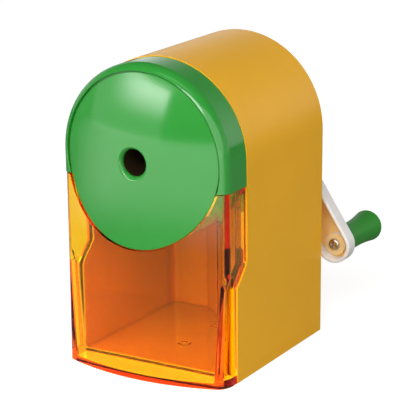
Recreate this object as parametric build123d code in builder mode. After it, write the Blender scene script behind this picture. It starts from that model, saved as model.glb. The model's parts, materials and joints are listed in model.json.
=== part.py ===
from build123d import *
from math import cos, pi, radians, sin, sqrt
import os

# Hand-crank desktop pencil sharpener: shell, drawer, planetary cutter and crank.
#
# Frame: origin on the desk at the middle of the shell's footprint, +Z up, -Y the front
# where the pencil goes in, +X to the right seen from the front. Millimetres.
# Depths along Y are measured from the shell's upper front edge, positive towards the back.

# ---- driving dimensions --------------------------------------------------------------
shell_width = 60.0         # across the round top
shell_height = 99.2        # desk to the crown
shell_depth = 49.4         # upper front edge to the back
foot_reach = 5.9           # how far the lower front edge stands forward of the upper one
side_draft = 0.62          # each side narrows by this much from the axis to the foot
wall = 2.0                 # shell wall
base_gap = 0.2             # shell stands this far above the desk, on its pad
base_plate = 1.2           # thickness of the shell's bottom

step_top = 37.5            # height where the front edge starts to slant forward
step_foot = 31.0           # height where the slant ends
seam_height = 61.9         # lower edge of the collar, upper edge of the drawer
seam_gap = 0.3             # between the drawer and what it closes against
disc_gap = 0.35            # between the drawer and the round face

disc_radius = 27.0         # round face of the cover
cover_crown = -17.4        # depth of the face's middle
bulge_radius = 78.0        # of the arc that the collar and the drawer bulge by
face_bulge = 66.0          # of the arc that the round face bulges by
face_edge = 0.25           # broken edge round the face
collar_edge = 0.35         # rounded inner edge of the collar
corner_width = 2.3         # rounded corner of the front, across
crease_depth = -9.1        # depth where the rounding meets the flat side in a crease
corner_swell = 0.5         # how far the rounding swells beyond its chord
groove_width = 0.35        # ring groove between the face and the collar
groove_depth = 1.4         # behind the collar's rim
collar_inset = 0.25        # collar stands inside the shell's outline by this
cover_wall = 2.0

pencil_bore = 4.2          # radius of the pencil's hole
mouth_radius = 6.0         # rounded mouth round it
mouth_depth = 1.7
guide_radius = 6.5         # outside of the guide tube
guide_back = 4.4           # depth of the tube's rear end

drawer_wall = 1.8
drawer_half = 29.4         # half-width of the drawer's front
drawer_crown_foot = -18.4  # depth of the bulged front at the bottom
drawer_crown_top = -17.3   # and at the seam
inner_round = 0.6          # fillet in the inner corners of the front
bin_half = 27.05           # half-width of the bin inside the shell
bin_wall = 1.6
bin_top = 42.0
bin_back = 46.4            # depth of the bin's back
bin_floor = 2.9            # height of the bin's floor
front_floor = 1.8          # height of the floor in the bulged front
riser = -7.9               # depth of the step between the two floors

cone_angle = 10.5          # tilt of the cutter, half the angle of a sharpened point
cutter_radius = 5.0
gear_module = 0.72
ring_teeth = 38
pinion_teeth = 12
pinion_depth = 6.6         # depth of the middle of the pinion

crank_angle = 38.0         # arm from straight down towards +X
crank_length = 51.3        # shaft to knob
arm_face = 53.1            # depth of the arm's rim, on the shell's side
arm_thickness = 5.2
arm_web = 1.5
knob_end = 80.4            # depth of the knob's free end

# ---- derived sizes -------------------------------------------------------------------
half_width = shell_width / 2
axis_height = shell_height - half_width
shell_front = -(shell_depth - foot_reach) / 2
foot_half = half_width - side_draft
inner_back = shell_depth - wall
edge_round = 0.5           # broken edges round the shell's back
step_round = 1.5           # rounds the two bends of the slanting step
beyond = 150.0             # reaches past the whole part, for cuts
base_top = base_gap + base_plate
arm_back = arm_face + arm_thickness
cutter_offset = gear_module * (ring_teeth - pinion_teeth) / 2
cutter_tilt = radians(cone_angle)

main_axis = Axis((0, shell_front, axis_height), (0, 1, 0))
turning_plane = Plane(
    origin=(0, shell_front, axis_height), x_dir=(0, 1, 0), z_dir=(1, 0, 0)
)
knob_x = crank_length * sin(radians(crank_angle))
knob_z = axis_height - crank_length * cos(radians(crank_angle))
knob_axis = Axis((knob_x, shell_front, knob_z), (0, 1, 0))
knob_plane = Plane(origin=(knob_x, shell_front, knob_z), x_dir=(0, 1, 0), z_dir=(1, 0, 0))


# ---- planes and outlines -------------------------------------------------------------
def facing_front(depth, height=axis_height, across=0.0):
    """Plane at a depth, looking to the front: local x is +X, local y is +Z."""
    return Plane(
        origin=(across, shell_front + depth, height), x_dir=(1, 0, 0), z_dir=(0, -1, 0)
    )


def facing_back(depth, height=axis_height, across=0.0):
    """Plane at a depth, looking to the back: local x is -X, local y is +Z."""
    return Plane(
        origin=(across, shell_front + depth, height), x_dir=(-1, 0, 0), z_dir=(0, 1, 0)
    )


def turned(*corners, plane=turning_plane):
    """Closed outline of (depth, radius) corners, to be revolved about its axis."""
    with BuildSketch(plane) as outline:
        with BuildLine():
            Polyline(*corners, close=True)
        make_face()
    return outline.sketch


def shell_outline(depth, inset, foot):
    """Front view of the shell: tapered sides under a half-round top."""
    side = half_width - inset
    low = foot_half - inset
    with BuildSketch(facing_front(depth, height=0)) as outline:
        with BuildLine():
            Polyline((-side, axis_height), (-low, foot), (low, foot), (side, axis_height))
            ThreePointArc((side, axis_height), (0, axis_height + side), (-side, axis_height))
        make_face()
    return outline.sketch


def side_region(gap, forward):
    """Side view of all that lies in front of the stepped edge, or behind it."""
    end = -beyond if forward else beyond
    upper = shell_front - gap
    lower = shell_front - foot_reach - gap
    with BuildSketch(Plane.YZ) as region:
        with BuildLine():
            Polyline(
                (end, -beyond),
                (lower, -beyond),
                (lower, step_foot),
                (upper, step_top),
                (upper, beyond),
                (end, beyond),
                close=True,
            )
        make_face()
        slant = [v for v in region.vertices() if step_foot - 1 < v.Z < step_top + 1]
        fillet(slant, radius=step_round)
    return region.sketch


def bulge(across, radius=bulge_radius):
    """How far the front's arc falls back behind its crown at a distance from the middle."""
    return radius - sqrt(radius**2 - across**2)


def rounding(side, crown):
    """Three points of the rounded corner between the bulged front and a flat side."""
    start = Vector(side - corner_width, crown + bulge(side - corner_width))
    end = Vector(side, crease_depth)
    along = end - start
    swell = Vector(along.Y, -along.X).normalized() * corner_swell
    return start, start + along / 2 + swell, end


def placed_plan(outline, height, left_only=False):
    """Outline drawn about the shell's front edge, put at a height, whole or its left half."""
    with BuildSketch(Plane.XY.offset(height)) as plan:
        with Locations((0, shell_front)):
            add(outline)
            if left_only:
                Rectangle(beyond, beyond, align=(Align.MIN, Align.CENTER), mode=Mode.SUBTRACT)
    return plan.sketch


def front_outline(half, crown, back):
    """Bulged front seen from above: shallow arc, rounded corners and flat sides."""
    start, middle, end = rounding(half, crown)
    with BuildSketch() as outline:
        with BuildLine():
            Polyline((-end.X, end.Y), (-half, back), (half, back), (end.X, end.Y))
            ThreePointArc(end, middle, start)
            ThreePointArc(start, (0, crown), (-start.X, start.Y))
            ThreePointArc((-start.X, start.Y), (-middle.X, middle.Y), (-end.X, end.Y))
        make_face()
    return outline.sketch


def face_outline(crown, back):
    """Bulge of the round face seen from above, carried past the face's edge."""
    half = disc_radius + 2
    side = crown + bulge(half, face_bulge)
    with BuildSketch() as outline:
        with BuildLine():
            Polyline((-half, side), (-half, back), (half, back), (half, side))
            ThreePointArc((half, side), (0, crown), (-half, side))
        make_face()
    return outline.sketch


def inner_plan(height, crown, back):
    """Plan of the room behind the drawer's bulged front, one wall inside it."""
    half = drawer_half - drawer_wall
    deep = crown + drawer_wall
    with BuildSketch(Plane.XY.offset(height)) as plan:
        with BuildLine():
            Polyline(
                (-half, shell_front + deep + bulge(half)),
                (-half, shell_front + back),
                (half, shell_front + back),
                (half, shell_front + deep + bulge(half)),
            )
            ThreePointArc(
                (half, shell_front + deep + bulge(half)),
                (0, shell_front + deep),
                (-half, shell_front + deep + bulge(half)),
            )
        make_face()
        fillet(plan.vertices().group_by(Axis.Y)[0], radius=inner_round)
    return plan.sketch


def cross_recess(size):
    """Outline of a cross-head driver's recess."""
    with BuildSketch() as recess:
        Rectangle(size, size / 4)
        Rectangle(size / 4, size)
    return recess.sketch


def pan_screw(head_radius, head_height, shank_radius, length):
    """Cross-head screw: the head stands on the XY plane and the shank hangs below it."""
    with BuildPart() as screw:
        Cylinder(head_radius, head_height, align=(Align.CENTER, Align.CENTER, Align.MIN))
        fillet(screw.edges().sort_by(Axis.Z)[-1], radius=head_height * 0.45)
        Cylinder(shank_radius, length, align=(Align.CENTER, Align.CENTER, Align.MAX))
        chamfer(screw.edges().sort_by(Axis.Z)[0], length=shank_radius * 0.4)
        with BuildSketch(Plane.XY.offset(head_height)):
            add(cross_recess(head_radius * 1.1))
        extrude(amount=-head_height * 0.55, mode=Mode.SUBTRACT)
    return screw.part


def around_axis(radius, angles, plane):
    """Locations on a circle about the main axis, in a plane that faces along Y."""
    spots = []
    for angle in angles:
        across = radius * cos(radians(angle)) * plane.x_dir.X
        spots.append(plane * Location((across, radius * sin(radians(angle)), 0)))
    return spots


# ---- shell ---------------------------------------------------------------------------
pad_length, pad_width, pad_thickness, pad_recess = 34.0, 42.0, 0.6, 0.4
frame_post_angles = (90, 210, 330)
frame_post_radius = 19.5
bushing_radius = 4.4       # rear bushing, where it passes the shell's back
screw_clearance = 1.7

with BuildPart() as shell:
    add(extrude(shell_outline(shell_depth, 0, base_gap), amount=shell_depth + foot_reach))
    fillet(shell.edges().group_by(Axis.Y)[-1], radius=edge_round)
    inside = shell_outline(inner_back, wall, base_top)
    extrude(inside, amount=inner_back + foot_reach + 1, mode=Mode.SUBTRACT)
    extrude(side_region(0, True), amount=half_width + 5, both=True, mode=Mode.SUBTRACT)
    with BuildSketch(facing_back(inner_back - 1)):
        Circle(bushing_radius + 0.05)
        with PolarLocations(frame_post_radius, 3, start_angle=90):
            Circle(screw_clearance)
    extrude(amount=wall + 2, mode=Mode.SUBTRACT)
    with BuildSketch(Plane.XY.offset(0)):
        RectangleRounded(pad_width, pad_length, radius=3.0)
    extrude(amount=base_gap + pad_recess, mode=Mode.SUBTRACT)

with BuildPart() as base_pad:
    with BuildSketch(Plane.XY):
        RectangleRounded(pad_width - 0.4, pad_length - 0.4, radius=2.8)
    extrude(amount=pad_thickness)

# ---- front cover ---------------------------------------------------------------------
cover_screw_angles = (30, 150, 270)
cover_screw_radius = 22.4
barrel_back = -1.6         # depth where the disc's skirt ends
guide_boss = 9.0           # outside of the boss that holds the guide tube
plate_front = 3.4          # depth of the frame's front face
skirt_back = 2.8           # depth where the collar's spigot ends, inside the shell
spigot_outer, spigot_inner, spigot_length = 27.6, 25.7, 3.2
screw_post, post_hole, post_hole_depth = 3.0, 1.2, 9.0
rim_depth = cover_crown + bulge(disc_radius)
opening_radius = disc_radius + groove_width
rounded_radius = opening_radius + collar_edge
rounding_depth = cover_crown + bulge(rounded_radius)
guide_front = cover_crown + mouth_depth


def under_half_dome(outline, foot):
    """Outline run straight down to the foot below the axis, and turned about it above."""
    with BuildPart() as front:
        extrude(placed_plan(outline, axis_height), amount=foot - axis_height)
        left_half = placed_plan(outline, axis_height, left_only=True)
        revolve(left_half, axis=main_axis, revolution_arc=180)
    return front.part


def disc(radius, crown, back):
    """Round face that bulges like the front, filled back to a depth."""
    with BuildPart() as face:
        add(under_half_dome(face_outline(crown, back), axis_height - disc_radius - 1))
        with BuildSketch(facing_front(back)):
            Circle(radius)
        extrude(amount=back - crown + 1, mode=Mode.INTERSECT)
    return face.part


with BuildPart() as face_disc:
    add(disc(disc_radius, cover_crown, barrel_back))
    rim = face_disc.edges().filter_by(lambda e: e.bounding_box().max.Y < shell_front - 5)
    fillet(rim.filter_by(lambda e: e.bounding_box().size.X > disc_radius), radius=face_edge)


with BuildPart() as front_cover:
    add(under_half_dome(front_outline(half_width - collar_inset, cover_crown, 0), seam_height))
    with BuildSketch(facing_front(rim_depth + groove_depth)):
        Circle(opening_radius)
    extrude(amount=beyond, mode=Mode.SUBTRACT)
    with BuildSketch(turning_plane):
        with BuildLine():
            Polyline((rounding_depth, rounded_radius), (rim_depth - groove_depth, rounded_radius),
                     (rim_depth - groove_depth, opening_radius),
                     (rounding_depth + collar_edge, opening_radius))
            RadiusArc((rounding_depth + collar_edge, opening_radius),
                      (rounding_depth, rounded_radius), collar_edge)
        make_face()
    revolve(axis=main_axis, mode=Mode.SUBTRACT)
    with BuildSketch(facing_front(skirt_back)):
        Circle(spigot_outer)
        with Locations((0, seam_height - axis_height - spigot_outer)):
            Rectangle(3 * spigot_outer, 2 * spigot_outer, mode=Mode.SUBTRACT)
    extrude(amount=spigot_length)
    add(face_disc.part)
    add(disc(disc_radius - cover_wall, cover_crown + cover_wall, skirt_back), mode=Mode.SUBTRACT)
    with BuildSketch(facing_front(skirt_back)):
        Circle(spigot_inner)
    extrude(amount=spigot_length, mode=Mode.SUBTRACT)
    with BuildSketch(facing_front(0)):
        Circle(guide_boss)
    extrude(amount=-guide_front)
    with BuildSketch(facing_front(plate_front)):
        with PolarLocations(cover_screw_radius, 3, start_angle=30):
            Circle(screw_post)
    extrude(amount=plate_front - rim_depth - cover_wall + 0.5)
    with BuildSketch(facing_front(5)):
        Circle(guide_radius)
    extrude(amount=5 - guide_front, mode=Mode.SUBTRACT)
    with BuildSketch(turning_plane) as mouth:
        with BuildLine():
            Polyline((guide_front, pencil_bore), (guide_front, 0), (cover_crown - 1, 0),
                     (cover_crown - 1, mouth_radius), (cover_crown + 0.05, mouth_radius))
            ThreePointArc((cover_crown + 0.05, mouth_radius),
                          (cover_crown + 0.45, mouth_radius - 1.25), (guide_front, pencil_bore))
        make_face()
    revolve(axis=main_axis, mode=Mode.SUBTRACT)
    with BuildSketch(facing_front(plate_front)):
        with PolarLocations(cover_screw_radius, 3, start_angle=30):
            Circle(post_hole)
    extrude(amount=post_hole_depth, mode=Mode.SUBTRACT)

with BuildPart() as pencil_guide:
    revolve(
        turned((guide_front, pencil_bore), (guide_front, guide_radius - 0.05),
               (guide_back, guide_radius - 0.05), (guide_back, pencil_bore)),
        axis=main_axis,
    )

# ---- mechanism frame -----------------------------------------------------------------
seat_radius = 17.5         # ring gear's seat
seat_front, seat_back = 5.0, 8.4         # depths of the seat
seat_outer = 19.3          # outside of the rim that holds the ring gear
plate_opening = 15.2
plate_radius = 26.4        # front plate, inside the cover's spigot
plate_back = 5.6
rod_radius, rod_circle = 2.3, 22.6       # three rods between the plates
rear_plate = 38.6          # depth of the rear plate's front face
rear_plate_back = 41.2
rear_plate_radius = 25.0
post_radius, post_bore = 3.6, 1.25       # posts that the shell's screws go into
post_bore_depth = 8.0
shaft_radius = 3.0
bushing_seat = 4.5

with BuildPart() as mechanism_frame:
    front_plate = turned((plate_front, plate_opening), (seat_front, plate_opening),
                         (seat_front, seat_radius), (seat_back, seat_radius),
                         (seat_back, seat_outer), (plate_back, seat_outer),
                         (plate_back, plate_radius), (plate_front, plate_radius))
    revolve(front_plate, axis=main_axis)
    revolve(
        turned((rear_plate, bushing_seat), (rear_plate_back, bushing_seat),
               (rear_plate_back, rear_plate_radius), (rear_plate, rear_plate_radius)),
        axis=main_axis,
    )
    with BuildSketch(facing_front(rear_plate + 0.5)):
        with PolarLocations(rod_circle, 3, start_angle=90):
            Circle(rod_radius)
    extrude(amount=rear_plate - 5)
    with BuildSketch(facing_front(inner_back)):
        with PolarLocations(frame_post_radius, 3, start_angle=90):
            Circle(post_radius)
    extrude(amount=inner_back - rear_plate_back + 0.5)
    with BuildSketch(facing_front(inner_back)):
        with PolarLocations(frame_post_radius, 3, start_angle=90):
            Circle(post_bore)
    extrude(amount=post_bore_depth, mode=Mode.SUBTRACT)
    with BuildSketch(facing_front(9)):
        with PolarLocations(cover_screw_radius, 3, start_angle=30):
            Circle(screw_clearance)
    extrude(amount=9, mode=Mode.SUBTRACT)
# ---- gears ---------------------------------------------------------------------------
tooth_pitch = pi * gear_module
ring_pitch_radius = gear_module * ring_teeth / 2
pinion_pitch_radius = gear_module * pinion_teeth / 2
ring_tip = ring_pitch_radius - 0.75 * gear_module
ring_root = ring_pitch_radius + 1.5 * gear_module
pinion_tip = pinion_pitch_radius + 0.75 * gear_module
pinion_root = pinion_pitch_radius - 1.25 * gear_module


def tooth(root, root_half, tip, tip_half):
    """Straight-flanked gear tooth along local +X, drawn at each active location."""
    Polygon((root, root_half), (root, -root_half), (tip, -tip_half), (tip, tip_half), align=None)


with BuildPart() as ring_gear:
    with BuildSketch(facing_front(8.1)):
        Circle(seat_radius - 0.02)
        Circle(ring_root, mode=Mode.SUBTRACT)
        with PolarLocations(0, ring_teeth, start_angle=90 + 180 / ring_teeth):
            tooth(ring_root + 0.4, tooth_pitch * 0.33, ring_tip, tooth_pitch * 0.13)
    extrude(amount=3.0)

# ---- rotating carrier ----------------------------------------------------------------
carrier_radius = 12.2
carrier_front, carrier_back = 2.4, 37.6
shaft_front = 34.4
cutter_clearance = 0.5
axle_radius = 1.5
pin_depth, pin_half = 36.2, 8.0

cutter_plane = Plane(
    origin=(0, shell_front + pinion_depth, axis_height + cutter_offset),
    x_dir=(1, 0, 0),
    z_dir=(0, cos(cutter_tilt), -sin(cutter_tilt)),
)
pocket_front, pocket_back = -2.0, 26.2
axle_front, axle_back = -4.2, 27.8


def on_cutter(distance):
    """Plane across the cutter's axis at a distance behind the pinion's middle."""
    return cutter_plane.offset(distance)


with BuildPart() as cutter_carrier:
    body = turned((0.8, guide_radius + 0.05), (0.8, guide_boss), (carrier_front, guide_boss),
                  (carrier_front, carrier_radius), (carrier_back - 2, carrier_radius),
                  (carrier_back, carrier_radius - 4), (carrier_back, shaft_radius + 0.02),
                  (shaft_front, shaft_radius + 0.02), (shaft_front, 0.9), (31.5, 0.9),
                  (8.6, pencil_bore + 0.4), (4.8, pencil_bore + 0.4),
                  (4.8, guide_radius + 0.05))
    revolve(body, axis=main_axis)
    with BuildSketch(on_cutter(pocket_front)):
        Circle(cutter_radius + cutter_clearance)
        with Locations((0, -10)):
            Rectangle(2 * (cutter_radius + cutter_clearance), 20)
    extrude(amount=pocket_back - pocket_front, mode=Mode.SUBTRACT)
    with BuildSketch(on_cutter(axle_front - 5)):
        Circle(axle_radius + 0.02)
    extrude(amount=axle_back - axle_front + 5, mode=Mode.SUBTRACT)
    with BuildSketch(Plane.XY.offset(axis_height - carrier_radius - 1)):
        with Locations((0, shell_front + pin_depth)):
            Circle(1.0)
    extrude(amount=carrier_radius + 1 + pin_half, mode=Mode.SUBTRACT)

with BuildPart() as cutter_axle:
    with BuildSketch(on_cutter(axle_front)):
        Circle(axle_radius)
    extrude(amount=axle_back - axle_front)
    chamfer(cutter_axle.edges().filter_by(GeomType.CIRCLE), length=0.3)

flutes, flute_depth, flute_turn = 10, 0.8, 70.0
cutter_front, cutter_back = 1.9, 25.4
slices = 5


def cutter_section(distance, turn):
    """Star-shaped section of the cutter with raked teeth, turned about its axis."""
    corners = []
    for flute in range(flutes):
        start = radians(360 / flutes * flute + turn)
        land = start + radians(360 / flutes * 0.25)
        gullet = start + radians(360 / flutes * 0.55)
        low = cutter_radius - flute_depth
        corners.append((cutter_radius * cos(start), cutter_radius * sin(start)))
        corners.append((cutter_radius * cos(land), cutter_radius * sin(land)))
        corners.append((low * cos(gullet), low * sin(gullet)))
    with BuildSketch(on_cutter(distance)) as section:
        with BuildLine():
            Polyline(*corners, close=True)
        make_face()
    return section.sketch


with BuildPart() as cutter:
    sections = []
    for index in range(slices):
        share = index / (slices - 1)
        distance = cutter_front + share * (cutter_back - cutter_front)
        sections.append(cutter_section(distance, flute_turn * share))
    loft(sections, ruled=True)
    with BuildSketch(on_cutter(cutter_front - 1)):
        Circle(axle_radius + 0.06)
    extrude(amount=40, mode=Mode.SUBTRACT)

with BuildPart() as cutter_pinion:
    with BuildSketch(on_cutter(-1.3)):
        Circle(pinion_root)
        with PolarLocations(0, pinion_teeth, start_angle=90):
            tooth(pinion_root * 0.9, tooth_pitch * 0.26, pinion_tip, tooth_pitch * 0.11)
    extrude(amount=2.6)
    with BuildSketch(on_cutter(1.3)):
        Circle(pinion_root - 0.3)
    extrude(amount=cutter_front - 1.3)
    with BuildSketch(on_cutter(-5)):
        Circle(axle_radius + 0.06)
    extrude(amount=10, mode=Mode.SUBTRACT)

with BuildPart() as cutter_washers:
    for distance in (pocket_front + 0.1, pocket_back - 0.5):
        with BuildSketch(on_cutter(distance)):
            Circle(2.8)
            Circle(axle_radius + 0.06, mode=Mode.SUBTRACT)
        extrude(amount=0.4)

# ---- crank shaft and its bearings ----------------------------------------------------
clip_depth = 43.4
shaft_back = arm_back - 0.3
hub_front = 51.0

with BuildPart() as crank_shaft:
    revolve(
        turned((shaft_front, 0), (shaft_front, shaft_radius), (clip_depth, shaft_radius),
               (clip_depth, 2.4), (clip_depth + 0.8, 2.4), (clip_depth + 0.8, shaft_radius),
               (shaft_back, shaft_radius), (shaft_back, 1.3), (shaft_back - 8, 1.3),
               (shaft_back - 8, 0)),
        axis=main_axis,
    )
    with BuildSketch(facing_back(hub_front)):
        with Locations((0, 2.4 + 2), (0, -2.4 - 2)):
            Rectangle(10, 4)
    extrude(amount=20, mode=Mode.SUBTRACT)
    with BuildSketch(Plane.XY.offset(axis_height)):
        with Locations((0, shell_front + pin_depth)):
            Circle(1.0)
    extrude(amount=10, both=True, mode=Mode.SUBTRACT)

with BuildPart() as drive_pin:
    with BuildSketch(Plane.XY.offset(axis_height)):
        with Locations((0, shell_front + pin_depth)):
            Circle(0.98)
    extrude(amount=pin_half, both=True)

with BuildPart() as frame_bushing:
    revolve(
        turned((rear_plate, shaft_radius + 0.05), (rear_plate, bushing_seat),
               (rear_plate_back, bushing_seat), (rear_plate_back, 6.2), (42.4, 6.2),
               (42.4, shaft_radius + 0.05)),
        axis=main_axis,
    )

with BuildPart() as rear_bushing:
    revolve(
        turned((inner_back - 0.6, shaft_radius + 0.05), (inner_back - 0.6, bushing_radius),
               (shell_depth, bushing_radius), (shell_depth, 6.4), (shell_depth + 1, 6.4),
               (shell_depth + 1, shaft_radius + 0.05)),
        axis=main_axis,
    )

with BuildPart() as thrust_washer:
    with BuildSketch(facing_front(43.2)):
        Circle(5.6)
        Circle(shaft_radius + 0.05, mode=Mode.SUBTRACT)
    extrude(amount=0.6)

with BuildPart() as retaining_clip:
    with BuildSketch(facing_front(clip_depth + 0.7)):
        Circle(5.0)
        Circle(2.45, mode=Mode.SUBTRACT)
        with Locations((0, -4)):
            Rectangle(3.0, 8, mode=Mode.SUBTRACT)
    extrude(amount=0.6)

# ---- crank arm and knob --------------------------------------------------------------
hub_radius, tip_radius = 10.5, 6.1
arm_rim = 1.3
screw_boss_back = 55.0
knob_front = 59.2
spindle_back = 76.0
bead_front, bead_back, bead_radius = 73.0, 74.2, 3.3


def arm_plane(depth):
    """Plane facing the front with local x along the arm."""
    lean = radians(crank_angle)
    return Plane(
        origin=(0, shell_front + depth, axis_height),
        x_dir=(sin(lean), 0, -cos(lean)),
        z_dir=(0, -1, 0),
    )


def arm_outline(depth, inset):
    """Tapered outline of the arm, from the hub to the knob's end."""
    with BuildSketch(arm_plane(depth)) as outline:
        Circle(hub_radius - inset)
        with Locations((crank_length, 0)):
            Circle(tip_radius - inset)
        make_hull()
    return outline.sketch


with BuildPart() as crank_arm:
    add(extrude(arm_outline(arm_back, 0), amount=arm_thickness))
    fillet(crank_arm.edges().group_by(Axis.Y)[-1], radius=0.8)
    extrude(arm_outline(arm_back - arm_web, arm_rim), amount=20, mode=Mode.SUBTRACT)
    fillet(crank_arm.edges().group_by(Axis.Y)[0], radius=0.55)
    with BuildSketch(arm_plane(arm_back - 0.5)):
        Circle(6.0)
    extrude(amount=arm_back - 0.5 - hub_front)
    with BuildSketch(arm_plane(arm_back - 0.5)):
        with Locations((crank_length, 0)):
            Circle(3.7)
    extrude(amount=arm_back - 0.5 - screw_boss_back)
    with BuildSketch(arm_plane(arm_back - 0.5)):
        with Locations((crank_length, 0)):
            Circle(1.3)
    extrude(amount=20, both=True, mode=Mode.SUBTRACT)
    with BuildSketch(facing_back(hub_front)):
        Circle(shaft_radius + 0.02)
        with Locations((0, 2.42 + 2), (0, -2.42 - 2)):
            Rectangle(10, 4, mode=Mode.SUBTRACT)
    extrude(amount=20, both=True, mode=Mode.SUBTRACT)

with BuildPart() as hub_washer:
    with BuildSketch(facing_back(arm_back)):
        Circle(4.6)
        Circle(1.3, mode=Mode.SUBTRACT)
    extrude(amount=0.6)

with BuildPart() as hub_screw:
    with Locations(facing_back(arm_back + 0.6)):
        add(pan_screw(2.9, 1.9, 1.25, 8.0))

with BuildPart() as knob_spindle:
    revolve(
        turned((arm_back, 1.3), (arm_back, 4.2), (arm_back + 0.6, 4.2), (arm_back + 0.6, 3.0),
               (bead_front, 3.0), (bead_front + 0.4, bead_radius), (bead_back, bead_radius),
               (bead_back + 0.4, 3.0), (spindle_back, 3.0), (spindle_back, 0),
               (arm_back + 11, 0), (arm_back + 11, 1.3), plane=knob_plane),
        axis=knob_axis,
    )

with BuildPart() as knob_screw:
    with Locations(facing_front(screw_boss_back, height=knob_z, across=knob_x)):
        add(pan_screw(1.95, 1.3, 1.25, 12.0))

with BuildPart() as knob:
    with BuildSketch(knob_plane):
        with BuildLine():
            Polyline((knob_end, 0), (knob_front, 0), (knob_front, 4.75))
            Spline((knob_front, 4.75), (knob_front + 6.5, 4.4), (knob_end - 1.4, 5.35))
            ThreePointArc((knob_end - 1.4, 5.35), (knob_end - 0.35, 4.95), (knob_end, 4.0))
            Line((knob_end, 4.0), (knob_end, 0))
        make_face()
    revolve(axis=knob_axis)
    revolve(
        turned((knob_front - 1, 0), (knob_front - 1, 3.1), (bead_front - 0.3, 3.1),
               (bead_front, bead_radius + 0.15), (bead_back + 0.4, bead_radius + 0.15),
               (bead_back + 0.8, 3.1), (spindle_back + 0.6, 3.1), (spindle_back + 0.6, 0),
               plane=knob_plane),
        axis=knob_axis,
        mode=Mode.SUBTRACT,
    )

# ---- screws --------------------------------------------------------------------------
with BuildPart() as frame_screws:
    with Locations(*around_axis(frame_post_radius, frame_post_angles, facing_back(shell_depth))):
        add(pan_screw(2.9, 1.8, 1.2, 8.5))

with BuildPart() as cover_screws:
    with Locations(*around_axis(cover_screw_radius, cover_screw_angles, facing_back(5.6))):
        add(pan_screw(2.6, 1.6, 1.15, 10.0))

# ---- drawer --------------------------------------------------------------------------
notch_wide, notch_narrow = 12.4, 3.6
notch_depth = 37.4         # depth of the notch's inner face inside the bin
ledge_top = 3.2            # the grip recesses end above a ledge
grip_front, grip_back = -13.0, -7.7
grip_foot = (28.6, 26.8)   # how far out the recess's face is at its front and back
grip_middle = (28.7, 28.3)
grip_shoulder, grip_top = 31.0, 37.5
backing_foot, backing_top = 24.9, 26.9   # the room's sides stand in behind the recesses
backing_height = 33.0
window_round = 1.0         # where the round cut meets the seam
front_back = 3.0           # the bulged front reaches this far into the shell
mark_outer, mark_inner = 2.2, 1.2        # moulding rings on the bin's floor


def bin_plan(height, half, front, back, notch):
    """Plan of the bin, with the notch in the middle of its back wall."""
    with BuildSketch(Plane.XY.offset(height)) as plan:
        with BuildLine():
            Polyline(
                (-half, shell_front + front),
                (half, shell_front + front),
                (half, shell_front + back),
                (notch_wide, shell_front + back),
                (notch_narrow, shell_front + notch),
                (-notch_narrow, shell_front + notch),
                (-notch_wide, shell_front + back),
                (-half, shell_front + back),
                close=True,
            )
        make_face()
        rear = plan.vertices().filter_by(lambda v: abs(v.X) > half - 1).group_by(Axis.Y)[-1]
        fillet(rear, radius=3.0)
    return plan.sketch


with BuildPart() as front_room:
    loft([
        inner_plan(front_floor, drawer_crown_foot, front_back),
        inner_plan(seam_height + 3, drawer_crown_top, front_back),
    ])
    extrude(side_region(seam_gap + bin_wall, False), amount=40, both=True, mode=Mode.SUBTRACT)
    with BuildSketch(facing_front(5, height=0)):
        for side in (-1, 1):
            Polygon(
                (side * backing_foot, -1),
                (side * backing_top, backing_height),
                (side * beyond, backing_height),
                (side * beyond, -1),
                align=None,
            )
    extrude(amount=40, mode=Mode.SUBTRACT)


def grip_plan(height, front_across, rear_across, side):
    """Plan of the grip recess at a height: its face runs in towards the back."""
    outer = drawer_half + 2
    with BuildSketch(Plane.XY.offset(height)) as plan:
        Polygon(
            (side * front_across, shell_front + grip_front - 3),
            (side * front_across, shell_front + grip_front),
            (side * rear_across, shell_front + grip_back),
            (side * outer, shell_front + grip_back),
            (side * outer, shell_front + grip_front - 3),
            align=None,
        )
    return plan.sketch


with BuildPart() as grip_cut:
    for side in (-1, 1):
        foot_plan = grip_plan(ledge_top, *grip_foot, side)
        middle_plan = grip_plan(grip_shoulder, *grip_middle, side)
        top_plan = grip_plan(grip_top, drawer_half + 0.3, drawer_half + 0.3, side)
        loft([foot_plan, middle_plan], ruled=True)
        loft([middle_plan, top_plan], ruled=True)

with BuildPart() as drawer:
    foot_outline = front_outline(drawer_half, drawer_crown_foot, front_back)
    top_outline = front_outline(drawer_half, drawer_crown_top, front_back)
    loft([placed_plan(foot_outline, base_gap + 0.1), placed_plan(top_outline, seam_height + 3)])
    extrude(side_region(seam_gap, False), amount=40, both=True, mode=Mode.SUBTRACT)
    extrude(bin_plan(base_top + 0.2, bin_half, riser, bin_back, notch_depth + bin_wall),
            amount=bin_top - base_top - 0.2)
    add(front_room.part, mode=Mode.SUBTRACT)
    inner_bin = bin_plan(bin_floor, bin_half - bin_wall, riser, bin_back - bin_wall, notch_depth)
    extrude(inner_bin, amount=100, mode=Mode.SUBTRACT)
    add(grip_cut.part, mode=Mode.SUBTRACT)
    with BuildSketch(facing_back(-40)) as window:
        Circle(disc_radius + disc_gap)
        with Locations((0, seam_height - seam_gap - axis_height)):
            Rectangle(beyond, beyond, align=(Align.CENTER, Align.MIN))
        meeting = window.vertices().filter_by(lambda v: abs(v.X) < half_width)
        fillet(meeting, radius=window_round)
    extrude(amount=60, mode=Mode.SUBTRACT)
    for mark_depth in (10.7, 30.0):
        with BuildSketch(Plane.XY.offset(bin_floor - 0.3)):
            with Locations((0, shell_front + mark_depth)):
                Circle(mark_outer)
                Circle(mark_inner, mode=Mode.SUBTRACT)
        extrude(amount=0.9)

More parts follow.
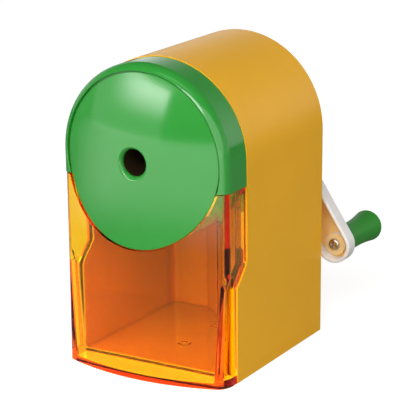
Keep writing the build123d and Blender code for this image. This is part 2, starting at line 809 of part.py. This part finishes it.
# ---- labels and files ----------------------------------------------------------------
pieces = {
    "shell": shell,
    "base_pad": base_pad,
    "front_cover": front_cover,
    "pencil_guide": pencil_guide,
    "mechanism_frame": mechanism_frame,
    "ring_gear": ring_gear,
    "frame_bushing": frame_bushing,
    "rear_bushing": rear_bushing,
    "frame_screws": frame_screws,
    "cover_screws": cover_screws,
    "cutter_carrier": cutter_carrier,
    "cutter_axle": cutter_axle,
    "cutter_washers": cutter_washers,
    "cutter": cutter,
    "cutter_pinion": cutter_pinion,
    "crank_shaft": crank_shaft,
    "drive_pin": drive_pin,
    "thrust_washer": thrust_washer,
    "retaining_clip": retaining_clip,
    "crank_arm": crank_arm,
    "hub_washer": hub_washer,
    "hub_screw": hub_screw,
    "knob_spindle": knob_spindle,
    "knob_screw": knob_screw,
    "knob": knob,
    "drawer": drawer,
}

os.makedirs("parts", exist_ok=True)
for node, piece in pieces.items():
    piece.part.label = node
    export_step(piece.part, f"parts/{node}.step")
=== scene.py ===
"""Looks of the hand-crank pencil sharpener: materials, floor, light and camera."""
import json
from math import cos, pi, radians, sin

import bpy
from mathutils import Matrix, Vector


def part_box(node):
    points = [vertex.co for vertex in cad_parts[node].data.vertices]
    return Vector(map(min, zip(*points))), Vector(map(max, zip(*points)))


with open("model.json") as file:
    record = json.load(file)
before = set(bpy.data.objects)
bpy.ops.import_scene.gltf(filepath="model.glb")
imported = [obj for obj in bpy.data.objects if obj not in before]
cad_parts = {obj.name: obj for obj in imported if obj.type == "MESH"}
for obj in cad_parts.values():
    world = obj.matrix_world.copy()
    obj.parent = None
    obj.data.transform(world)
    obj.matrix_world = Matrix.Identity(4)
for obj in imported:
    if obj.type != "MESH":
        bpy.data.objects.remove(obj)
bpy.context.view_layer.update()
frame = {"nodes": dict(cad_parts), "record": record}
nodes = frame["nodes"]
scene = bpy.context.scene

# ---- camera ------------------------------------------------------------------
SENSOR_MM = 36.0
LENS_MM = 155.1202
LENS_SHIFT = (-0.069303, -0.073966)     # parts of the frame's width
VIEW_AZIMUTH, VIEW_ELEVATION, VIEW_ROLL = radians(30.30), radians(15.32), radians(-0.50)
VIEW_DISTANCE = 0.5957
TARGET_FROM_BACK = 0.0044           # in front of the shell's back
TARGET_HEIGHT = 0.050

shell_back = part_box("shell")[1].y
target = Vector((0, shell_back - TARGET_FROM_BACK, TARGET_HEIGHT))


def direction(azimuth, elevation):
    """Unit vector from the object; azimuth turns from the front towards +X."""
    return Vector((
        sin(azimuth) * cos(elevation),
        -cos(azimuth) * cos(elevation),
        sin(elevation),
    ))


def add_camera():
    """Camera at the photograph's viewing angle."""
    back = direction(VIEW_AZIMUTH, VIEW_ELEVATION)
    right = (-back).cross(Vector((0, 0, 1))).normalized()
    up = right.cross(-back)
    turned_right = right * cos(VIEW_ROLL) + up * sin(VIEW_ROLL)
    turned_up = up * cos(VIEW_ROLL) - right * sin(VIEW_ROLL)
    camera = bpy.data.objects.new("camera", bpy.data.cameras.new("camera"))
    scene.collection.objects.link(camera)
    place = Matrix((turned_right, turned_up, back)).transposed().to_4x4()
    place.translation = target + back * VIEW_DISTANCE
    camera.matrix_world = place
    camera.data.sensor_width = SENSOR_MM
    camera.data.lens = LENS_MM
    camera.data.shift_x, camera.data.shift_y = LENS_SHIFT
    camera.data.clip_start = 0.01
    camera.data.clip_end = 20
    scene.camera = camera


# ---- shader nodes ------------------------------------------------------------
def new_material(name):
    material = bpy.data.materials.new(name)
    material.use_nodes = True
    tree = material.node_tree
    shader = tree.nodes["Principled BSDF"]
    return material, tree, shader


def object_noise(tree, scale, detail=2.0, roughness=0.5):
    """Noise that stays with the piece, in its own coordinates."""
    where = tree.nodes.new("ShaderNodeTexCoord")
    noise = tree.nodes.new("ShaderNodeTexNoise")
    noise.inputs["Scale"].default_value = scale
    noise.inputs["Detail"].default_value = detail
    noise.inputs["Roughness"].default_value = roughness
    tree.links.new(where.outputs["Object"], noise.inputs["Vector"])
    return noise


def ramp(tree, source, low, high, low_at=0.35, high_at=0.65):
    """Colour ramp from low to high."""
    node = tree.nodes.new("ShaderNodeValToRGB")
    node.color_ramp.elements[0].position = low_at
    node.color_ramp.elements[0].color = (*low, 1)
    node.color_ramp.elements[1].position = high_at
    node.color_ramp.elements[1].color = (*high, 1)
    tree.links.new(source, node.inputs["Fac"])
    return node


def remap(tree, source, start, end, low=0.0, high=1.0, smooth=False):
    """Value from low to high as the source goes from start to end."""
    node = tree.nodes.new("ShaderNodeMapRange")
    node.interpolation_type = "SMOOTHSTEP" if smooth else "LINEAR"
    node.inputs["From Min"].default_value = start
    node.inputs["From Max"].default_value = end
    node.inputs["To Min"].default_value = low
    node.inputs["To Max"].default_value = high
    tree.links.new(source, node.inputs["Value"])
    return node.outputs["Result"]


def spread(tree, noise, low, high):
    """Value from low to high over the middle of a noise's range."""
    return remap(tree, noise, start=0.3, end=0.7, low=low, high=high)


def combine(tree, operation, first, second):
    """Result of a Math operation on two sockets."""
    node = tree.nodes.new("ShaderNodeMath")
    node.operation = operation
    tree.links.new(first, node.inputs[0])
    tree.links.new(second, node.inputs[1])
    return node.outputs["Value"]


def separate(tree, vector):
    """The X, Y and Z sockets of a vector."""
    node = tree.nodes.new("ShaderNodeSeparateXYZ")
    tree.links.new(vector, node.inputs["Vector"])
    return node.outputs


def blend(tree, share, first, second):
    """Shader that goes from the first to the second as the share goes from 0 to 1."""
    node = tree.nodes.new("ShaderNodeMixShader")
    tree.links.new(share, node.inputs["Fac"])
    tree.links.new(first, node.inputs[1])
    tree.links.new(second, node.inputs[2])
    return node.outputs["Shader"]


def bump(tree, shader, source, strength, distance):
    node = tree.nodes.new("ShaderNodeBump")
    node.inputs["Strength"].default_value = strength
    node.inputs["Distance"].default_value = distance
    tree.links.new(source, node.inputs["Height"])
    tree.links.new(node.outputs["Normal"], shader.inputs["Normal"])


# ---- materials: lengths in metres, noise scales per metre ----------------------
SHELL_YELLOW = (0.95, 0.475, 0.012)
COVER_GREEN = (0.032, 0.30, 0.040)
KNOB_GREEN = (0.038, 0.29, 0.036)
BLACK, CARRIER_GREY, GEAR_CREAM = (0.030, 0.018, 0.008), (0.05, 0.05, 0.055), (0.70, 0.68, 0.62)
CAST_GREY, TOOL_GREY, SCREW_GREY = (0.52, 0.52, 0.53), (0.50, 0.49, 0.48), (0.66, 0.62, 0.56)
RUBBER_BLACK = (0.03, 0.03, 0.03)

MOTTLE_SCALE = 45.0
MOULD_SCALE, MOULD_DEPTH = 2200.0, 0.00002
METAL_TEXTURE, METAL_DEPTH = 0.08, 0.00003
MOULDED_IOR, CLEAR_IOR, ARM_IOR = 1.5, 1.49, 1.49

CLEAR_SCALE = 160.0
CLEAR_GLOSS = (0.015, 0.05)
DYE_COLOUR, DYE_DENSITY = (0.981, 0.884, 0.0), 1300.0

ARM_SCALE = 120.0
ARM_WHITE = ((0.88, 0.85, 0.82), (0.93, 0.90, 0.88))
# painted bounce light: the shell's yellow light on the arm's pocket, put into the colour and faded
# in between the pocket depths below
ARM_PAINTED_BOUNCE = ((0.94, 0.60, 0.20), (0.97, 0.68, 0.26))
ARM_GLOSS = (0.28, 0.38)
ARM_THICKNESS = 0.0052
POCKET_START, POCKET_FULL = 0.0004, 0.0022      # depths behind the arm's rim
ARM_SOFTNESS, ARM_SOFT_REACH = 0.5, 0.0015
ARM_SOFT_COLOURS = (1.0, 0.85, 0.7)


def moulded_plastic(name, colour, roughness, shade=0.06, texture=0.05, shine=0.5):
    """Opaque moulded plastic: faint mottling, fine moulding texture, uneven gloss."""
    material, tree, shader = new_material(name)
    broad = object_noise(tree, MOTTLE_SCALE, detail=3.0)
    fine = object_noise(tree, MOULD_SCALE, detail=2.0)
    darker = tuple(c * (1 - shade) for c in colour)
    lighter = tuple(min(1.0, c * (1 + shade)) for c in colour)
    tint = ramp(tree, broad.outputs["Fac"], darker, lighter)
    tree.links.new(tint.outputs["Color"], shader.inputs["Base Color"])
    gloss = spread(tree, fine.outputs["Fac"], roughness * 0.85, roughness * 1.15)
    tree.links.new(gloss, shader.inputs["Roughness"])
    bump(tree, shader, fine.outputs["Fac"], texture, MOULD_DEPTH)
    shader.inputs["IOR"].default_value = MOULDED_IOR
    shader.inputs["Specular IOR Level"].default_value = shine
    return material


def tinted_clear(name):
    """Clear plastic dyed through, so thick paths turn red; its shadow is only the dye's."""
    material, tree, shader = new_material(name)
    fine = object_noise(tree, CLEAR_SCALE, detail=2.0)
    gloss = spread(tree, fine.outputs["Fac"], *CLEAR_GLOSS)
    tree.links.new(gloss, shader.inputs["Roughness"])
    shader.inputs["Base Color"].default_value = (1, 1, 1, 1)
    shader.inputs["Transmission Weight"].default_value = 1.0
    shader.inputs["IOR"].default_value = CLEAR_IOR
    dye = tree.nodes.new("ShaderNodeVolumeAbsorption")
    dye.inputs["Color"].default_value = (*DYE_COLOUR, 1)
    dye.inputs["Density"].default_value = DYE_DENSITY
    output = tree.nodes["Material Output"]
    tree.links.new(dye.outputs["Volume"], output.inputs["Volume"])
    clear = tree.nodes.new("ShaderNodeBsdfTransparent")
    path = tree.nodes.new("ShaderNodeLightPath")
    lit = blend(tree, path.outputs["Is Shadow Ray"], shader.outputs["BSDF"], clear.outputs["BSDF"])
    tree.links.new(lit, output.inputs["Surface"])
    return material


def metal(name, colour, roughness, grain=900.0):
    """Plain metal with a fine grain in its colour, gloss and surface."""
    material, tree, shader = new_material(name)
    fine = object_noise(tree, grain, detail=4.0, roughness=0.7)
    tint = ramp(tree, fine.outputs["Fac"], tuple(c * 0.85 for c in colour), colour)
    tree.links.new(tint.outputs["Color"], shader.inputs["Base Color"])
    gloss = spread(tree, fine.outputs["Fac"], roughness * 0.7, roughness * 1.3)
    tree.links.new(gloss, shader.inputs["Roughness"])
    shader.inputs["Metallic"].default_value = 1.0
    bump(tree, shader, fine.outputs["Fac"], METAL_TEXTURE, METAL_DEPTH)
    return material


def painted_bounce_mask(tree):
    """1 on the floor of the arm's pocket, which faces the shell, and 0 elsewhere: the mask of the
    painted bounce light.
    """
    where = tree.nodes.new("ShaderNodeTexCoord")
    place = separate(tree, where.outputs["Object"])
    shape = tree.nodes.new("ShaderNodeNewGeometry")
    facing = separate(tree, shape.outputs["Normal"])
    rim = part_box("crank_arm")[1].y - ARM_THICKNESS
    deep = remap(tree, place["Y"], rim + POCKET_START, rim + POCKET_FULL)
    front = remap(tree, facing["Y"], start=-0.2, end=-0.8)
    return combine(tree, "MULTIPLY", deep, front)


def translucent_plastic(name):
    """Natural white plastic; its pocket, on the shell's side, has the shell's bounced light painted
    into its colour as an amber tint.
    """
    material, tree, shader = new_material(name)
    broad = object_noise(tree, ARM_SCALE, detail=3.0)
    white = ramp(tree, broad.outputs["Fac"], *ARM_WHITE)
    painted_bounce = ramp(tree, broad.outputs["Fac"], *ARM_PAINTED_BOUNCE)
    # painted bounce light: the amber tint goes where the pocket faces the shell
    tint = tree.nodes.new("ShaderNodeMix")
    tint.data_type = "RGBA"
    tree.links.new(painted_bounce_mask(tree), tint.inputs["Factor"])
    tree.links.new(white.outputs["Color"], tint.inputs["A"])
    tree.links.new(painted_bounce.outputs["Color"], tint.inputs["B"])
    tree.links.new(tint.outputs["Result"], shader.inputs["Base Color"])
    gloss = spread(tree, broad.outputs["Fac"], *ARM_GLOSS)
    tree.links.new(gloss, shader.inputs["Roughness"])
    shader.inputs["Subsurface Weight"].default_value = ARM_SOFTNESS
    shader.inputs["Subsurface Radius"].default_value = ARM_SOFT_COLOURS
    shader.inputs["Subsurface Scale"].default_value = ARM_SOFT_REACH
    shader.inputs["IOR"].default_value = ARM_IOR
    return material


by_slot = {
    "shell_plastic": moulded_plastic("shell_plastic", SHELL_YELLOW, 0.36, shade=0.02, shine=0.3),
    "cover_plastic": moulded_plastic("cover_plastic", COVER_GREEN, 0.13, shade=0.02, texture=0.02),
    "knob_plastic": moulded_plastic("knob_plastic", KNOB_GREEN, 0.4, shade=0.04, shine=0.12),
    "drawer_plastic": tinted_clear("drawer_plastic"),
    "arm_plastic": translucent_plastic("arm_plastic"),
    "black_plastic": moulded_plastic("black_plastic", BLACK, 0.32, shade=0.2),
    "carrier_plastic": moulded_plastic("carrier_plastic", CARRIER_GREY, 0.4, shade=0.15),
    "gear_plastic": moulded_plastic("gear_plastic", GEAR_CREAM, 0.4, shade=0.04),
    "frame_casting": metal("frame_casting", CAST_GREY, 0.45, grain=500.0),
    "tool_steel": metal("tool_steel", TOOL_GREY, 0.28),
    "screw_steel": metal("screw_steel", SCREW_GREY, 0.24),
    "pad_rubber": moulded_plastic("pad_rubber", RUBBER_BLACK, 0.7, shade=0.2, texture=0.4),
}


def dress_nodes():
    for part in frame["record"]["subparts"]:
        piece = nodes[part["node"]]
        piece.data.materials.clear()
        piece.data.materials.append(by_slot[part["material_slot"]])


# ---- floor -------------------------------------------------------------------
FLOOR_HALF = 6.0
PAPER_SCALE = 300.0
PAPER_TINTS = ((0.54, 0.54, 0.54), (0.56, 0.56, 0.56))
PAPER_GLOW = 0.80                       # makes up for light that the room doesn't give
BOUNCE_GREY = 0.40
FAR_GLOW = 2.3
FAR_START, FAR_FULL = 0.19, 0.25        # distances from the origin
SIDE_BEARING, AHEAD_BEARING = -0.30, -0.68      # Y over distance: the front is -1


def floor_as_mirrored(tree, path):
    """Grey paper, and on the far front part, where the object mirrors it, a bright glow."""
    grey = tree.nodes.new("ShaderNodeBsdfDiffuse")
    grey.inputs["Color"].default_value = (BOUNCE_GREY, BOUNCE_GREY, BOUNCE_GREY, 1)
    far = tree.nodes.new("ShaderNodeEmission")
    far.inputs["Strength"].default_value = FAR_GLOW
    where = tree.nodes.new("ShaderNodeTexCoord")
    distance = tree.nodes.new("ShaderNodeVectorMath")
    distance.operation = "LENGTH"
    tree.links.new(where.outputs["Object"], distance.inputs[0])
    reach = remap(tree, distance.outputs["Value"], FAR_START, FAR_FULL)
    place = separate(tree, where.outputs["Object"])
    bearing = combine(tree, "DIVIDE", place["Y"], distance.outputs["Value"])
    ahead = remap(tree, bearing, SIDE_BEARING, AHEAD_BEARING)
    bright = combine(tree, "MULTIPLY", reach, ahead)
    mirrored = combine(tree, "MULTIPLY", path.outputs["Is Glossy Ray"], bright)
    return blend(tree, mirrored, grey.outputs["BSDF"], far.outputs["Emission"])


def floor_paper():
    """White paper to the eye and through the clear drawer; grey to the light that it returns."""
    material, tree, shader = new_material("floor_paper")
    fine = object_noise(tree, PAPER_SCALE)
    tint = ramp(tree, fine.outputs["Fac"], *PAPER_TINTS)
    tree.links.new(tint.outputs["Color"], shader.inputs["Base Color"])
    shader.inputs["Roughness"].default_value = 0.9
    shader.inputs["Specular IOR Level"].default_value = 0.1
    shader.inputs["Emission Color"].default_value = (1, 1, 1, 1)
    shader.inputs["Emission Strength"].default_value = PAPER_GLOW
    path = tree.nodes.new("ShaderNodeLightPath")
    around = floor_as_mirrored(tree, path)
    seen = combine(tree, "MAXIMUM", path.outputs["Is Camera Ray"],
                   path.outputs["Is Transmission Ray"])
    either = blend(tree, seen, around, shader.outputs["BSDF"])
    tree.links.new(either, tree.nodes["Material Output"].inputs["Surface"])
    return material


def add_floor():
    mesh = bpy.data.meshes.new("floor")
    half = FLOOR_HALF
    corners = [(-half, -half, 0), (half, -half, 0), (half, half, 0), (-half, half, 0)]
    mesh.from_pydata(corners, [], [(0, 1, 2, 3)])
    floor = bpy.data.objects.new("floor", mesh)
    scene.collection.objects.link(floor)
    mesh.materials.append(floor_paper())


# ---- light -------------------------------------------------------------------
LIGHT_AIM_HEIGHT = 0.06
ROOM_THROUGH_CLEAR = 4.0        # the room as it shows through the drawer
WINDOW_DIM, WINDOW_BRIGHT = 1.3, 13.5


def add_world():
    """Studio room: bright behind the object, dimmer on the camera's side, dark overhead."""
    world = bpy.data.worlds.new("studio")
    world.use_nodes = True
    tree = world.node_tree
    background = tree.nodes["Background"]
    background.inputs["Color"].default_value = (1, 1, 1, 1)
    where = tree.nodes.new("ShaderNodeTexCoord")
    way = separate(tree, where.outputs["Generated"])
    fade = remap(tree, way["Y"], start=-0.6, end=0.8, low=0.10, high=1.10)
    ceiling = remap(tree, way["Z"], start=0.2, end=0.6, low=1.0, high=0.05)
    room = combine(tree, "MULTIPLY", fade, ceiling)
    path = tree.nodes.new("ShaderNodeLightPath")
    through = remap(tree, path.outputs["Is Transmission Ray"], 0.0, 1.0, 0.0, ROOM_THROUGH_CLEAR)
    brighter = combine(tree, "MAXIMUM", room, through)
    tree.links.new(brighter, background.inputs["Strength"])
    scene.world = world


def add_softbox(name, azimuth, elevation, distance, width, height, radiance, shape="ELLIPSE"):
    """Softbox aimed at the object; its power is an ellipse's at the given radiance."""
    middle = Vector((0, 0, LIGHT_AIM_HEIGHT))
    place = middle + direction(radians(azimuth), radians(elevation)) * distance
    ellipse_area = width * height * pi / 4
    lamp = bpy.data.lights.new(name, "AREA")
    lamp.shape = shape
    lamp.size = width
    lamp.size_y = height
    lamp.energy = radiance * pi * ellipse_area
    holder = bpy.data.objects.new(name, lamp)
    scene.collection.objects.link(holder)
    holder.location = place
    holder.rotation_euler = (middle - place).to_track_quat("-Z", "Y").to_euler()
    return lamp


def add_window():
    """Wide soft panel on the left, brightest in its upper right corner."""
    lamp = add_softbox("window", azimuth=-38, elevation=13, distance=1.2,
                       width=1.06, height=0.62, radiance=1.0, shape="RECTANGLE")
    lamp.use_nodes = True
    tree = lamp.node_tree
    surface = tree.nodes.new("ShaderNodeNewGeometry")
    across = separate(tree, surface.outputs["Parametric"])
    sideways = remap(tree, across["X"], start=0.15, end=0.68, smooth=True)
    upwards = remap(tree, across["Y"], start=0.30, end=0.92, smooth=True)
    both = combine(tree, "MULTIPLY", sideways, upwards)
    strength = remap(tree, both, 0.0, 1.0, WINDOW_DIM, WINDOW_BRIGHT)
    tree.links.new(strength, tree.nodes["Emission"].inputs["Strength"])


def add_light():
    add_world()
    add_window()
    add_softbox("strip", azimuth=5, elevation=62, distance=1.3, width=1.0, height=0.3, radiance=1.5)
    add_softbox("fill", azimuth=10, elevation=35, distance=1.5, width=1.0, height=0.5, radiance=9.2)
    add_softbox("key", azimuth=50, elevation=19, distance=1.3, width=1.5, height=1.1, radiance=2.0)


add_camera()
dress_nodes()
add_floor()
add_light()
scene.view_settings.view_transform = "Standard"

# light goes in and out of the clear drawer many times before it is dark
scene.cycles.max_bounces = 48
scene.cycles.diffuse_bounces = 10
scene.cycles.glossy_bounces = 32
scene.cycles.transmission_bounces = 32
scene.cycles.transparent_max_bounces = 24
